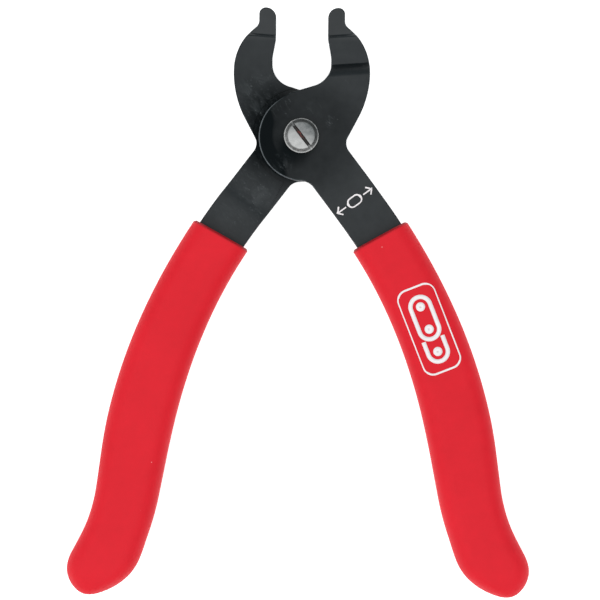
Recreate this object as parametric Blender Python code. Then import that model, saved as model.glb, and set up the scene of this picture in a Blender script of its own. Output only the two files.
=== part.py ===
"""Chain link pliers: two crossed steel levers on a slotted pivot screw, with soft sleeves on the arms.

The tool lies flat. The pivot axis is X = 0, Y = 0 and the jaws point along +Y. Z = 0 is the plane
that the undersides of the two grips and the end of the screw share. The front lever is the upper
one: right jaw and right arm. The rear lever is its mirror image, one plate lower.
Sizes are in millimetres and degrees, and are turned to metres where a mesh is made.
"""
import math

import bmesh
import bpy
from mathutils import Vector

MM = 0.001

# Plates and clearances
PLATE = 2.8                # thickness of both levers
LEVER_GAP = 0.3            # between the levers at the pivot
FACE_GAP = 0.1             # between two pieces stacked on the screw
BORE_GAP = 0.1             # radial, round the screw
TANG_GAP = 0.3             # between a tang and the pocket of its grip

# Jaws, as half sizes from the middle line and heights above the pivot
BOSS_RADIUS = 13.7
BOSS_CENTRE = Vector((0.45, -0.3))     # the boss sits a little off the pivot axis
BOSS_START = 125.0         # where the boss takes over from the floor of the throat
BOSS_EASE_RADIUS = 9.0
BOSS_MARGIN = 0.2          # from the boss to the line of the throat's floor
TIP_REACH = 40.55
TIP_INNER = 8.15
TIP_OUTER = 13.45
THROAT_HALF = 9.2
THROAT_EASE_LOW = 25.0     # where the throat starts to close in
THROAT_EASE_HIGH = 30.6    # where it is down to the tips' spacing
THROAT_FLOOR_SLOPE = 17.0
JAW_HALF = 21.3
JAW_ROOT_HEIGHT = 12.5
JAW_ROOT_SLOPE = 28.0
SHOULDER_HEIGHT = 28.4
SHOULDER_SLOPE = 49.0

# Corner radii of the outline
WAIST_RADIUS = 4.0
JAW_ROOT_RADIUS = 30.0
SHOULDER_RADIUS = 17.0
TIP_ROOT_RADIUS = 2.5
TIP_OUTER_RADIUS = 2.0
TIP_INNER_RADIUS = 3.2
THROAT_EASE_RADIUS = 9.0
THROAT_RADIUS = 7.3
CROTCH_RADIUS = 4.5

# Seat in the rear lever's front face, for the front boss and the thrust washer
SEAT_MARGIN = 1.6          # round the boss
SEAT_DEPTH = 0.5
SEAT_WEDGE_ANGLE = 21.2    # a wedge of the seat runs from here, off straight down,
SEAT_WEDGE_REACH = 27.6    # to this distance along the inner edge of the arm

# Creases across the jaws: distances from the pivot, square to a line this far off the middle
CREASE_SLOPE = 4.2
JOGGLE_MARGIN = 2.1        # past the seat, the front jaw steps back into the plane of the rear one
JOGGLE_LENGTH = 4.5
TIP_CREASE = 30.0          # past this line the tips are thinner
TIP_CREASE_LENGTH = 1.3
TIP_THINNING = 0.8

# Arms: the handle line starts square to the pivot and runs down the arm and its grip
ARM_WIDTH = 15.6
ARM_OFFSET = 1.27          # from the pivot to the handle line
ARM_HEADING = 37.25        # from straight down, outwards
HANDLE_LENGTH = 160.4      # along the handle line, to the end of the grip
ARM_STRAIGHT = 28.5
HANDLE_TURN = -27.9        # the long bend that brings the handles together
HANDLE_STRAIGHT = 11.8
FOOT_BEND_LENGTH = 19.9
FOOT_TURN = 16.1           # the short bend that turns their ends out again
FOOT_STRAIGHT = 15.6
SET_MARGIN = 6.7           # past the seat, each arm is set back to the middle plane
SET_LENGTH = 10.0
TANG_COVER = 19.4          # from the tang's end to the grip's end
TANG_END_WIDTH = 11.0
TANG_CORNER = 4.0

# Grips
GRIP_THICKNESS = 14.0
GRIP_MOUTH = 39.5          # along the handle line
GRIP_MOUTH_SKEW = 4.5      # the mouth and the end are not square to the handle line
GRIP_MOUTH_FADE = 38.0
GRIP_MOUTH_CHAMFER = 0.6
GRIP_END_SKEW = 18.0
GRIP_END_FADE = 14.0
GRIP_END_ROUND = 13.4
GRIP_END_TAPER = 1.15      # powers of a cosine that close the end in width and in thickness
GRIP_END_THINNING = 0.6
GRIP_CORNER = 5.6
GRIP_STATIONS = 26
MOUTH_WALL = 1.8           # beside a tang of the arm's full width, here and below
PALM_WALL = 2.6
NECK_WALL = 1.9
FOOT_WALL = 2.5
PALM_BACK = 57.7           # from the grip's end, here and below
NECK_BACK = 23.4
FOOT_BACK = 6.4

# Pivot screw, washers and nut
HEAD_RADIUS = 5.45
HEAD_FLAT_RADIUS = 4.0
HEAD_HEIGHT = 2.1
HEAD_RIM_HEIGHT = 1.2
SLOT_WIDTH = 1.0
SLOT_DEPTH = 1.1
SLOT_HEADING = -52.3       # direction of the slot, from +X
SHOULDER_SCREW_RADIUS = 4.0
THREAD_RADIUS = 2.5
THREAD_CHAMFER = 0.4
THRUST_WASHER_RADIUS = 11.0
BACK_WASHER_RADIUS = 5.0
BACK_WASHER_THICKNESS = 0.8
NUT_ACROSS_FLATS = 8.0
NUT_HEIGHT = 2.7
NUT_CHAMFER = 0.5
SCREW_PROUD = 0.35         # of the nut

# Heights, stacked up from the end of the screw
NUT_TOP = SCREW_PROUD + NUT_HEIGHT
BACK_WASHER_TOP = NUT_TOP + FACE_GAP + BACK_WASHER_THICKNESS
REAR_BOTTOM = BACK_WASHER_TOP + FACE_GAP
LEVEL_STEP = PLATE + LEVER_GAP
FRONT_BOTTOM = REAR_BOTTOM + LEVEL_STEP
HEAD_BOTTOM = FRONT_BOTTOM + PLATE + FACE_GAP
MIDDLE = REAR_BOTTOM + PLATE + LEVER_GAP / 2
SEAT_FLOOR = REAR_BOTTOM + PLATE - SEAT_DEPTH

# Places that follow from the sizes above
SEAT_RADIUS = BOSS_RADIUS + SEAT_MARGIN
JOGGLE_START = SEAT_RADIUS + JOGGLE_MARGIN
SET_START = SEAT_RADIUS + SET_MARGIN
BORE_RADIUS = SHOULDER_SCREW_RADIUS + BORE_GAP
TANG_END = HANDLE_LENGTH - TANG_COVER
HANDLE_BEND_LENGTH = HANDLE_LENGTH - ARM_STRAIGHT - HANDLE_STRAIGHT - FOOT_BEND_LENGTH - FOOT_STRAIGHT

ROUND_STEPS = 64           # facets of a full circle
CUTTER_MARGIN = 5.0


# ---------------------------------------------------------------- plane geometry

def along(heading):
    """Unit vector at an angle from straight down, turning outwards to +X."""
    return Vector((math.sin(math.radians(heading)), -math.cos(math.radians(heading))))


def outward(heading):
    """Unit vector square to along(heading), on the outer side of the right arm."""
    return Vector((math.cos(math.radians(heading)), math.sin(math.radians(heading))))


def handle_at(distance):
    """Point and heading on the right handle line, measured from its foot beside the pivot."""
    point = outward(ARM_HEADING) * ARM_OFFSET
    heading = ARM_HEADING
    runs = ((ARM_STRAIGHT, 0.0), (HANDLE_BEND_LENGTH, HANDLE_TURN), (HANDLE_STRAIGHT, 0.0),
            (FOOT_BEND_LENGTH, FOOT_TURN), (HANDLE_LENGTH, 0.0))
    for length, turn in runs:
        run = min(distance, length)
        bend = turn * run / length
        half = math.radians(bend / 2)
        chord = run * (math.sin(half) / half if half else 1.0)
        point = point + along(heading + bend / 2) * chord
        heading += bend
        distance -= run
        if distance <= 0:
            break
    return point, heading


def beside_handle(distance, offset):
    """Point at an offset to the outer side of the handle line."""
    point, heading = handle_at(distance)
    return point + outward(heading) * offset


def crossing(point_a, toward_a, point_b, toward_b):
    """Where two lines, each a point and a direction, cross."""
    across = point_b - point_a
    factor = across.cross(toward_b) / toward_a.cross(toward_b)
    return point_a + toward_a * factor


def arc(centre, radius, start, end):
    """Points on an arc from one angle to another, in degrees, both ends included."""
    steps = max(2, math.ceil(abs(end - start) / 360 * ROUND_STEPS))
    turns = (math.radians(start + (end - start) * i / steps) for i in range(steps + 1))
    return [centre + Vector((math.cos(t), math.sin(t))) * radius for t in turns]


def rounded(corners):
    """Points along an open line of (point, corner radius), with each corner turned into an arc."""
    line = [corners[0][0]]
    for (before, _), (corner, radius), (after, _) in zip(corners, corners[1:], corners[2:]):
        arrive = (corner - before).normalized()
        leave = (after - corner).normalized()
        turn = math.atan2(arrive.cross(leave), arrive.dot(leave))
        centre = corner - arrive * radius * math.tan(abs(turn) / 2)
        side = math.copysign(1.0, turn)
        centre += Vector((-arrive.y, arrive.x)) * radius * side
        start = math.degrees(math.atan2(arrive.y, arrive.x)) - 90 * side
        line += arc(centre, radius, start, start + math.degrees(turn))
    return line + [corners[-1][0]]


def lever_outline():
    """Outline of the right-hand lever, counter-clockwise, from the middle of its tang's end."""
    half = ARM_WIDTH / 2
    end_half = TANG_END_WIDTH / 2

    def tang_half(distance):
        share = max(0.0, (distance - GRIP_MOUTH) / (TANG_END - GRIP_MOUTH))
        return half + (end_half - half) * share

    stations = [ARM_STRAIGHT + (TANG_END - TANG_CORNER - ARM_STRAIGHT) * i / 24 for i in range(25)]
    end_turns = [math.radians(90 * i / 6) for i in range(7)]
    tang_corner = [(TANG_END - TANG_CORNER * (1 - math.sin(t)),
                    end_half - TANG_CORNER * (1 - math.cos(t))) for t in end_turns]
    outer = [beside_handle(s, tang_half(s)) for s in stations[:-1]]
    outer += [beside_handle(s, width) for s, width in tang_corner]
    inner = [beside_handle(s, -tang_half(s)) for s in stations[:-1]]
    inner += [beside_handle(s, -width) for s, width in tang_corner]

    arm_outer = beside_handle(0.0, half)
    root = Vector((JAW_HALF, JAW_ROOT_HEIGHT))
    waist = crossing(arm_outer, along(ARM_HEADING), root, along(180 - JAW_ROOT_SLOPE))
    shoulder = Vector((JAW_HALF, SHOULDER_HEIGHT))
    tip_root = crossing(shoulder, along(180 + SHOULDER_SLOPE),
                        Vector((TIP_OUTER, 0.0)), Vector((0.0, 1.0)))
    slope = math.radians(THROAT_FLOOR_SLOPE)
    floor_spot = Vector((-math.sin(slope), math.cos(slope))) * (BOSS_RADIUS + BOSS_MARGIN)
    floor_way = Vector((math.cos(slope), math.sin(slope)))
    throat_corner = crossing(floor_spot, floor_way, Vector((THROAT_HALF, 0.0)), Vector((0.0, 1.0)))
    boss_start = math.radians(BOSS_START)
    boss_spot = BOSS_CENTRE + Vector((math.cos(boss_start), math.sin(boss_start))) * BOSS_RADIUS
    boss_corner = crossing(floor_spot, floor_way, boss_spot,
                           Vector((-math.sin(boss_start), math.cos(boss_start))))
    jaw = rounded([
        (beside_handle(ARM_STRAIGHT, half), 0.0),
        (waist, WAIST_RADIUS),
        (root, JAW_ROOT_RADIUS),
        (shoulder, SHOULDER_RADIUS),
        (tip_root, TIP_ROOT_RADIUS),
        (Vector((TIP_OUTER, TIP_REACH)), TIP_OUTER_RADIUS),
        (Vector((TIP_INNER, TIP_REACH)), TIP_INNER_RADIUS),
        (Vector((TIP_INNER, THROAT_EASE_HIGH)), THROAT_EASE_RADIUS),
        (Vector((THROAT_HALF, THROAT_EASE_LOW)), THROAT_EASE_RADIUS),
        (throat_corner, THROAT_RADIUS),
        (boss_corner, BOSS_EASE_RADIUS),
        (boss_spot, 0.0),
    ])

    # the crotch fillet touches the boss from outside and the arm's inner edge
    edge = half - ARM_OFFSET + CROTCH_RADIUS
    aside = edge + BOSS_CENTRE.dot(outward(ARM_HEADING))
    reach = math.sqrt((BOSS_RADIUS + CROTCH_RADIUS) ** 2 - aside ** 2)
    reach += BOSS_CENTRE.dot(along(ARM_HEADING))
    crotch = along(ARM_HEADING) * reach - outward(ARM_HEADING) * edge
    from_boss = crotch - BOSS_CENTRE
    crotch_angle = math.degrees(math.atan2(from_boss.y, from_boss.x)) + 360
    boss = arc(BOSS_CENTRE, BOSS_RADIUS, BOSS_START, crotch_angle)
    fillet = arc(crotch, CROTCH_RADIUS, crotch_angle - 180, ARM_HEADING)
    return outer[:0:-1] + jaw + boss[1:] + fillet[1:] + inner


# ---------------------------------------------------------------- mesh helpers

def finish_object(name, mesh, smooth_angle=30.0):
    """Make an object of a bmesh, smooth shaded between its sharp edges."""
    bmesh.ops.remove_doubles(mesh, verts=mesh.verts, dist=1e-7)
    bmesh.ops.recalc_face_normals(mesh, faces=mesh.faces)
    data = bpy.data.meshes.new(name)
    mesh.to_mesh(data)
    mesh.free()
    data.shade_smooth()
    data.set_sharp_from_angle(angle=math.radians(smooth_angle))
    obj = bpy.data.objects.new(name, data)
    bpy.context.scene.collection.objects.link(obj)
    return obj


def prism(name, outline, bottom, top):
    """Upright solid over an outline."""
    mesh = bmesh.new()
    low = [mesh.verts.new((p.x * MM, p.y * MM, bottom * MM)) for p in outline]
    high = [mesh.verts.new((p.x * MM, p.y * MM, top * MM)) for p in outline]
    mesh.faces.new(low[::-1])
    mesh.faces.new(high)
    for i in range(len(outline)):
        j = (i + 1) % len(outline)
        mesh.faces.new((low[i], low[j], high[j], high[i]))
    return finish_object(name, mesh)


def turned(name, profile, closed=False):
    """Solid of revolution about the pivot axis, from (radius, height) points."""
    mesh = bmesh.new()
    rings = []
    for radius, height in profile:
        turns = [math.tau * i / ROUND_STEPS for i in range(ROUND_STEPS)] if radius else [0.0]
        rings.append([mesh.verts.new((radius * math.cos(t) * MM, radius * math.sin(t) * MM, height * MM))
                      for t in turns])
    pairs = list(zip(rings, rings[1:]))
    if closed:
        pairs.append((rings[-1], rings[0]))
    for lower, upper in pairs:
        for i in range(ROUND_STEPS):
            j = (i + 1) % ROUND_STEPS
            if len(lower) == 1:
                mesh.faces.new((lower[0], upper[j], upper[i]))
            elif len(upper) == 1:
                mesh.faces.new((lower[i], lower[j], upper[0]))
            else:
                mesh.faces.new((lower[i], lower[j], upper[j], upper[i]))
    return finish_object(name, mesh)


def washer(name, inner, outer, bottom, top):
    """Flat ring about the pivot axis."""
    return turned(name, [(inner, bottom), (outer, bottom), (outer, top), (inner, top)], closed=True)


def cut(obj, cutter):
    """Take a hidden cutter's shape out of an object."""
    cutter.hide_render = True
    cutter.display_type = 'WIRE'
    modifier = obj.modifiers.new(cutter.name, 'BOOLEAN')
    modifier.operation = 'DIFFERENCE'
    modifier.solver = 'EXACT'
    modifier.object = cutter


def give_material(obj, name, colour, roughness, metallic):
    """One Principled material for one piece."""
    material = bpy.data.materials.new(name)
    material.use_nodes = True
    shader = material.node_tree.nodes['Principled BSDF']
    shader.inputs['Base Color'].default_value = (*colour, 1.0)
    shader.inputs['Roughness'].default_value = roughness
    shader.inputs['Metallic'].default_value = metallic
    obj.data.materials.append(material)


# ---------------------------------------------------------------- pieces

def ramp(value, start, length):
    """0 before start, 1 past start + length, straight between."""
    return min(1.0, max(0.0, (value - start) / length))


def eased(share):
    """Smooth version of a straight share from 0 to 1."""
    return share * share * (3 - 2 * share)


def press_creases(obj, side, jaw_drop, arm_rise, thin_above=math.inf):
    """Step the jaw back, set the arm to the middle plane and thin the tip above a height."""
    slope = math.radians(CREASE_SLOPE)
    jaw_way = Vector((-side * math.sin(slope), math.cos(slope)))
    arm_way = along(ARM_HEADING)
    arm_way.x *= side
    creases = [(jaw_way, TIP_CREASE), (jaw_way, TIP_CREASE + TIP_CREASE_LENGTH),
               (arm_way, SET_START), (arm_way, SET_START + SET_LENGTH)]
    if jaw_drop:
        creases += [(jaw_way, JOGGLE_START), (jaw_way, JOGGLE_START + JOGGLE_LENGTH)]
    mesh = bmesh.new()
    mesh.from_mesh(obj.data)
    for way, distance in creases:
        everything = mesh.verts[:] + mesh.edges[:] + mesh.faces[:]
        bmesh.ops.bisect_plane(mesh, geom=everything, dist=1e-7,
                               plane_co=(way * distance * MM).to_3d(), plane_no=way.to_3d())
    for vert in mesh.verts:
        spot = vert.co.to_2d() / MM
        rise = arm_rise * ramp(spot.dot(arm_way), SET_START, SET_LENGTH)
        rise -= jaw_drop * ramp(spot.dot(jaw_way), JOGGLE_START, JOGGLE_LENGTH)
        if vert.co.z > thin_above * MM:
            rise -= TIP_THINNING * ramp(spot.dot(jaw_way), TIP_CREASE, TIP_CREASE_LENGTH)
        vert.co.z += rise * MM
    mesh.to_mesh(obj.data)
    mesh.free()
    obj.data.set_sharp_from_angle(angle=math.radians(30.0))


def make_lever(name, side, bottom, jaw_drop, arm_rise):
    """A stamped plate: side is 1 for the right-hand lever and -1 for its mirror image."""
    outline = [Vector((p.x * side, p.y)) for p in lever_outline()]
    lever = prism(name, outline, bottom, bottom + PLATE)
    press_creases(lever, side, jaw_drop, arm_rise, thin_above=bottom + PLATE / 2)
    low, high = bottom - CUTTER_MARGIN, bottom + PLATE + CUTTER_MARGIN
    bore = [(0.0, low), (BORE_RADIUS, low), (BORE_RADIUS, high), (0.0, high)]
    cut(lever, turned(f'{name}_bore_cutter', bore))
    return lever


def make_front_lever():
    lever = make_lever('front_lever', 1, FRONT_BOTTOM, LEVEL_STEP, -LEVEL_STEP / 2)
    give_material(lever, 'black_steel_front', (0.030, 0.035, 0.039), 0.42, 0.6)
    return lever


def make_rear_lever():
    lever = make_lever('rear_lever', -1, REAR_BOTTOM, 0.0, LEVEL_STEP / 2)
    top = REAR_BOTTOM + PLATE + CUTTER_MARGIN
    cut(lever, turned('seat_cutter', [(0.0, SEAT_FLOOR), (SEAT_RADIUS, SEAT_FLOOR),
                                      (SEAT_RADIUS, top), (0.0, top)]))
    wedge_top = along(-SEAT_WEDGE_ANGLE) * SEAT_RADIUS
    wedge_foot = beside_handle(SEAT_WEDGE_REACH, -ARM_WIDTH / 2)
    wedge_foot.x = -wedge_foot.x
    wedge = prism('seat_wedge_cutter', [Vector((0.0, 0.0)), wedge_top, wedge_foot,
                                        Vector((0.0, wedge_foot.y))], SEAT_FLOOR, top)
    press_creases(wedge, -1, 0.0, LEVEL_STEP / 2)
    cut(lever, wedge)
    give_material(lever, 'black_steel_rear', (0.030, 0.035, 0.039), 0.42, 0.6)
    return lever


def make_pivot_screw():
    rim = HEAD_BOTTOM + HEAD_RIM_HEIGHT
    top = HEAD_BOTTOM + HEAD_HEIGHT
    screw = turned('pivot_screw', [
        (0.0, 0.0), (THREAD_RADIUS - THREAD_CHAMFER, 0.0), (THREAD_RADIUS, THREAD_CHAMFER),
        (THREAD_RADIUS, REAR_BOTTOM), (SHOULDER_SCREW_RADIUS, REAR_BOTTOM),
        (SHOULDER_SCREW_RADIUS, HEAD_BOTTOM), (HEAD_RADIUS, HEAD_BOTTOM), (HEAD_RADIUS, rim),
        (HEAD_FLAT_RADIUS, top), (0.0, top)])
    run = Vector((math.cos(math.radians(SLOT_HEADING)), math.sin(math.radians(SLOT_HEADING))))
    half = Vector((-run.y, run.x)) * SLOT_WIDTH / 2
    run = run * (HEAD_RADIUS + CUTTER_MARGIN)
    outline = [-run - half, run - half, run + half, -run + half]
    cut(screw, prism('slot_cutter', outline, top - SLOT_DEPTH, top + CUTTER_MARGIN))
    give_material(screw, 'plated_steel_screw', (0.62, 0.62, 0.60), 0.28, 1.0)
    return screw


def make_thrust_washer():
    ring = washer('thrust_washer', BORE_RADIUS, THRUST_WASHER_RADIUS,
                  SEAT_FLOOR + FACE_GAP, FRONT_BOTTOM - FACE_GAP)
    give_material(ring, 'bronze_washer', (0.55, 0.36, 0.16), 0.35, 1.0)
    return ring


def make_back_washer():
    ring = washer('back_washer', THREAD_RADIUS + BORE_GAP, BACK_WASHER_RADIUS,
                  BACK_WASHER_TOP - BACK_WASHER_THICKNESS, BACK_WASHER_TOP)
    give_material(ring, 'plated_steel_washer', (0.60, 0.60, 0.58), 0.32, 1.0)
    return ring


def make_lock_nut():
    """Thin hexagon nut: a turned blank with chamfered faces, cut back to its flats."""
    top = NUT_TOP
    bottom = SCREW_PROUD
    bore = THREAD_RADIUS + BORE_GAP
    corner = NUT_ACROSS_FLATS / 2 / math.cos(math.radians(30))
    nut = turned('lock_nut', [
        (bore, bottom), (corner - NUT_CHAMFER, bottom), (corner, bottom + NUT_CHAMFER / 2),
        (corner, top - NUT_CHAMFER / 2), (corner - NUT_CHAMFER, top), (bore, top)], closed=True)
    hexagon = [Vector((math.cos(math.radians(60 * i)), math.sin(math.radians(60 * i)))) * corner
               for i in range(6)]
    flats = prism('nut_flats_keeper', hexagon, bottom - CUTTER_MARGIN, top + CUTTER_MARGIN)
    cut(nut, flats)
    nut.modifiers[-1].operation = 'INTERSECT'
    give_material(nut, 'plated_steel_nut', (0.60, 0.60, 0.58), 0.32, 1.0)
    return nut


def grip_half_width(distance):
    """Half the sleeve's width along the handle line: a palm swell, a neck and a wider foot."""
    marks = ((GRIP_MOUTH, MOUTH_WALL), (HANDLE_LENGTH - PALM_BACK, PALM_WALL),
             (HANDLE_LENGTH - NECK_BACK, NECK_WALL), (HANDLE_LENGTH - FOOT_BACK, FOOT_WALL))
    wall = FOOT_WALL
    for (start, near), (end, far) in zip(marks, marks[1:]):
        if start <= distance <= end:
            wall = near + (far - near) * eased(ramp(distance, start, end - start))
    return ARM_WIDTH / 2 + wall


def rounded_section(half_width, half_height, radius, steps=5):
    """Points round a rectangle with rounded corners, as (across, up) pairs."""
    points = []
    for quarter in range(4):
        sign_x = (1, -1, -1, 1)[quarter]
        sign_y = (1, 1, -1, -1)[quarter]
        for i in range(steps + 1):
            turn = math.radians(90 * (quarter + i / steps))
            points.append((sign_x * (half_width - radius) + radius * math.cos(turn),
                           sign_y * (half_height - radius) + radius * math.sin(turn)))
    return points


def make_grip(name, side):
    """Sleeve lofted along the handle line, with a blind pocket for the tang open at its mouth."""
    mesh = bmesh.new()

    body_end = HANDLE_LENGTH - GRIP_END_ROUND

    def ring(distance, half_width, half_height, radius, end_skew=0.0):
        at_mouth = 1 - ramp(distance, GRIP_MOUTH, GRIP_MOUTH_FADE)
        at_end = eased(ramp(distance, body_end - GRIP_END_FADE, GRIP_END_FADE))
        skew = math.tan(math.radians(GRIP_MOUTH_SKEW)) * at_mouth
        skew += math.tan(math.radians(end_skew)) * at_end
        verts = []
        for across, up in rounded_section(half_width, half_height, radius):
            spot = beside_handle(distance + across * skew, across)
            verts.append(mesh.verts.new((side * spot.x * MM, spot.y * MM, (MIDDLE + up) * MM)))
        return verts

    half_height = GRIP_THICKNESS / 2
    chamfer = GRIP_MOUTH_CHAMFER
    mouth_half_width = grip_half_width(GRIP_MOUTH) - chamfer
    skin = [ring(GRIP_MOUTH, mouth_half_width, half_height - chamfer, GRIP_CORNER - chamfer)]
    for i in range(GRIP_STATIONS + 1):
        distance = GRIP_MOUTH + chamfer + (body_end - GRIP_MOUTH - chamfer) * i / GRIP_STATIONS
        half_width = grip_half_width(distance)
        skin.append(ring(distance, half_width, half_height, GRIP_CORNER, GRIP_END_SKEW))
    for turn in range(14, 86, 10):
        shrink = math.cos(math.radians(turn))
        distance = body_end + GRIP_END_ROUND * math.sin(math.radians(turn))
        half_width = grip_half_width(distance) * shrink ** GRIP_END_TAPER
        height = half_height * shrink ** GRIP_END_THINNING
        corner = min(GRIP_CORNER, 0.98 * half_width, 0.98 * height)
        skin.append(ring(distance, half_width, height, corner, GRIP_END_SKEW))

    pocket = []
    pocket_end = TANG_END + TANG_GAP
    for i in range(GRIP_STATIONS + 1):
        share = i / GRIP_STATIONS
        distance = GRIP_MOUTH + (pocket_end - GRIP_MOUTH) * share
        width = ARM_WIDTH + (TANG_END_WIDTH - ARM_WIDTH) * share
        pocket.append(ring(distance, width / 2 + TANG_GAP, PLATE / 2 + TANG_GAP, TANG_GAP))

    rings = skin[::-1] + pocket
    for first, second in zip(rings, rings[1:]):
        for i in range(len(first)):
            j = (i + 1) % len(first)
            mesh.faces.new((first[i], first[j], second[j], second[i]))
    mesh.faces.new(rings[0])
    mesh.faces.new(rings[-1])
    grip = finish_object(name, mesh, smooth_angle=40.0)
    give_material(grip, f'{name}_rubber', (0.75, 0.024, 0.036), 0.62, 0.0)
    return grip


def clear_scene():
    for obj in list(bpy.data.objects):
        bpy.data.objects.remove(obj, do_unlink=True)


def main():
    clear_scene()
    make_rear_lever()
    front = make_front_lever()
    make_pivot_screw()
    make_thrust_washer()
    make_back_washer()
    make_lock_nut()
    make_grip('rear_grip', -1)
    front_grip = make_grip('front_grip', 1)

    pivot = bpy.data.objects.new('front_pivot', None)
    bpy.context.scene.collection.objects.link(pivot)
    front.parent = pivot
    front_grip.parent = pivot


main()
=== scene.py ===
"""Finish of the chain link pliers: stamped black levers, a plated pivot screw and red sleeves.

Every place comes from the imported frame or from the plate's own drawing, which is repeated here
in finer steps. Sizes are in millimetres and degrees, and are turned to metres where a mesh is made.
"""
import math

import bmesh
import bpy
import numpy as np
from mathutils import Matrix, Vector


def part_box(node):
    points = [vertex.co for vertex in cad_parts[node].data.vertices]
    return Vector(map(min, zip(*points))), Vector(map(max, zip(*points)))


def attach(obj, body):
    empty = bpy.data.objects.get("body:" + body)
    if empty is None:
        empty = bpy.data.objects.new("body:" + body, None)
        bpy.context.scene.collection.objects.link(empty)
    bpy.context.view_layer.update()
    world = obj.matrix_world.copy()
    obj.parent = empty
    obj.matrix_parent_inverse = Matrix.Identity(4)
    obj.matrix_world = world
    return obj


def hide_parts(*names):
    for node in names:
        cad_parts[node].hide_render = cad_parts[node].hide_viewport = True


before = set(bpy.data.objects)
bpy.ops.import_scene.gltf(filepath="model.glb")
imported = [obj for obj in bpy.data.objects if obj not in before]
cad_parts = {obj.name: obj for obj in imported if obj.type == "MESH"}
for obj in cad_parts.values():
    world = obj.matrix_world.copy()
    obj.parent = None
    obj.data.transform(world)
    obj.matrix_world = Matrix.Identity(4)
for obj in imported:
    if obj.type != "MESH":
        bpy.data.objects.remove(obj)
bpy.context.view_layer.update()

MM = 0.001


def box_of(node):
    """Lowest and highest corner of a CAD node, in millimetres."""
    low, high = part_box(node)
    return low / MM, high / MM


# Plates: the outline's driving sizes, as in the drawing of the part
PLATE = 2.8
BOSS_RADIUS = 13.7
BOSS_CENTRE = Vector((0.45, -0.3))     # the boss sits a little off the pivot axis
BOSS_START = 125.0         # where the boss takes over from the floor of the throat
BOSS_EASE_RADIUS = 9.0
BOSS_MARGIN = 0.2          # from the boss to the line of the throat's floor
TIP_INNER = 8.15
TIP_OUTER = 13.45
THROAT_HALF = 9.2
THROAT_EASE_LOW = 25.0
THROAT_EASE_HIGH = 30.6
THROAT_FLOOR_SLOPE = 17.0
JAW_HALF = 21.3
JAW_ROOT_HEIGHT = 12.5
JAW_ROOT_SLOPE = 28.0
SHOULDER_HEIGHT = 28.4
SHOULDER_SLOPE = 49.0
WAIST_RADIUS = 4.0
JAW_ROOT_RADIUS = 30.0
SHOULDER_RADIUS = 17.0
TIP_ROOT_RADIUS = 2.5
TIP_OUTER_RADIUS = 2.0
TIP_INNER_RADIUS = 3.2
THROAT_EASE_RADIUS = 9.0
THROAT_RADIUS = 7.3
CROTCH_RADIUS = 4.5

# Seat round the front boss, in the rear lever
SEAT_RADIUS = 15.3
SEAT_DEPTH = 0.5
SEAT_WEDGE_ANGLE = 21.2
SEAT_WEDGE_REACH = 27.6

# Bends: where each starts and how long it is
CREASE_SLOPE = 4.2
JOGGLE_START = 17.4
JOGGLE_LENGTH = 4.5
TIP_CREASE = 30.0
TIP_CREASE_LENGTH = 1.3
TIP_THINNING = 0.8
JOGGLE_EASE = 0.62         # share of the joggle that curves down from the boss
JOGGLE_NIP = 0.07          # share of it that turns level again, in a crisp crease
TIP_CREASE_TURN = 0.7
SET_START = 22.0
SET_LENGTH = 10.0
SET_TURN = 0.5
BEND_STEPS = 16            # facets through one bend

# Edges of a stamped plate: rolled over on top, lightly broken underneath
ROLL_WIDTH = 0.42
ROLL_DEPTH = 0.34
ROLL_STEPS = 6
BREAK_RADIUS = 0.18
BREAK_STEPS = 3
EDGE_WEAR_REACH = 0.40     # how far the finish is rubbed thin beside an edge

# Arms and the handle line
ARM_WIDTH = 15.6
ARM_OFFSET = 1.27
ARM_HEADING = 37.25
HANDLE_LENGTH = 160.4
ARM_STRAIGHT = 28.5
HANDLE_TURN = -27.9
HANDLE_STRAIGHT = 11.8
FOOT_BEND_LENGTH = 19.9
FOOT_TURN = 16.1
FOOT_STRAIGHT = 15.6
TANG_END = 141.0
TANG_END_WIDTH = 11.0
TANG_CORNER = 4.0
TANG_GAP = 0.3

# Sleeves
GRIP_MOUTH = 39.5
GRIP_MOUTH_SKEW = 4.5
GRIP_MOUTH_FADE = 38.0
GRIP_MOUTH_CHAMFER = 0.6
GRIP_END_SKEW = 18.0
GRIP_END_FADE = 14.0
GRIP_END_ROUND = 13.4
GRIP_END_TAPER = 1.15
GRIP_END_THINNING = 0.6
GRIP_CORNER = 5.6
GRIP_STATIONS = 120
GRIP_CORNER_STEPS = 12
GRIP_END_STEPS = 22
SKIN_CLEARANCE = 0.04      # room on the sleeve for its printed mark
MOUTH_WALL = 1.8
PALM_WALL = 2.6
NECK_WALL = 1.9
FOOT_WALL = 2.5
PALM_BACK = 57.7
NECK_BACK = 23.4
FOOT_BACK = 6.4

# Screw
BORE_GAP = 0.1
SHOULDER_SCREW_RADIUS = 4.0
THREAD_RADIUS = 2.5
THREAD_PITCH = 0.8
THREAD_DEPTH = 0.43
THREAD_RIDGE = 0.3         # radius of the three-sided ridge
THREAD_SINK = 0.13         # of the ridge's middle, outside the core
THREAD_STEPS = 64          # to a turn
HEAD_HEIGHT = 2.1
HEAD_RIM_HEIGHT = 1.2
HEAD_FLAT_RADIUS = 4.2
HEAD_LIP = 0.42            # width of the bright lip round the head
HEAD_FOOT_ROUND = 0.15
HEAD_RIM_ROUND = 0.16
HEAD_DOME = 0.10
SCREW_BREAK = 0.1          # broken edges on the shoulder and at the start of the thread
AXIS_RADIUS = 0.001        # where a turned profile starts, instead of on the axis itself
SLOT_WIDTH = 1.0
SLOT_DEPTH = 1.1
SLOT_HEADING = -52.3
NUT_CHAMFER = 0.5
WASHER_ROUND = 0.12
CUTTER_MARGIN = 5.0

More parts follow.
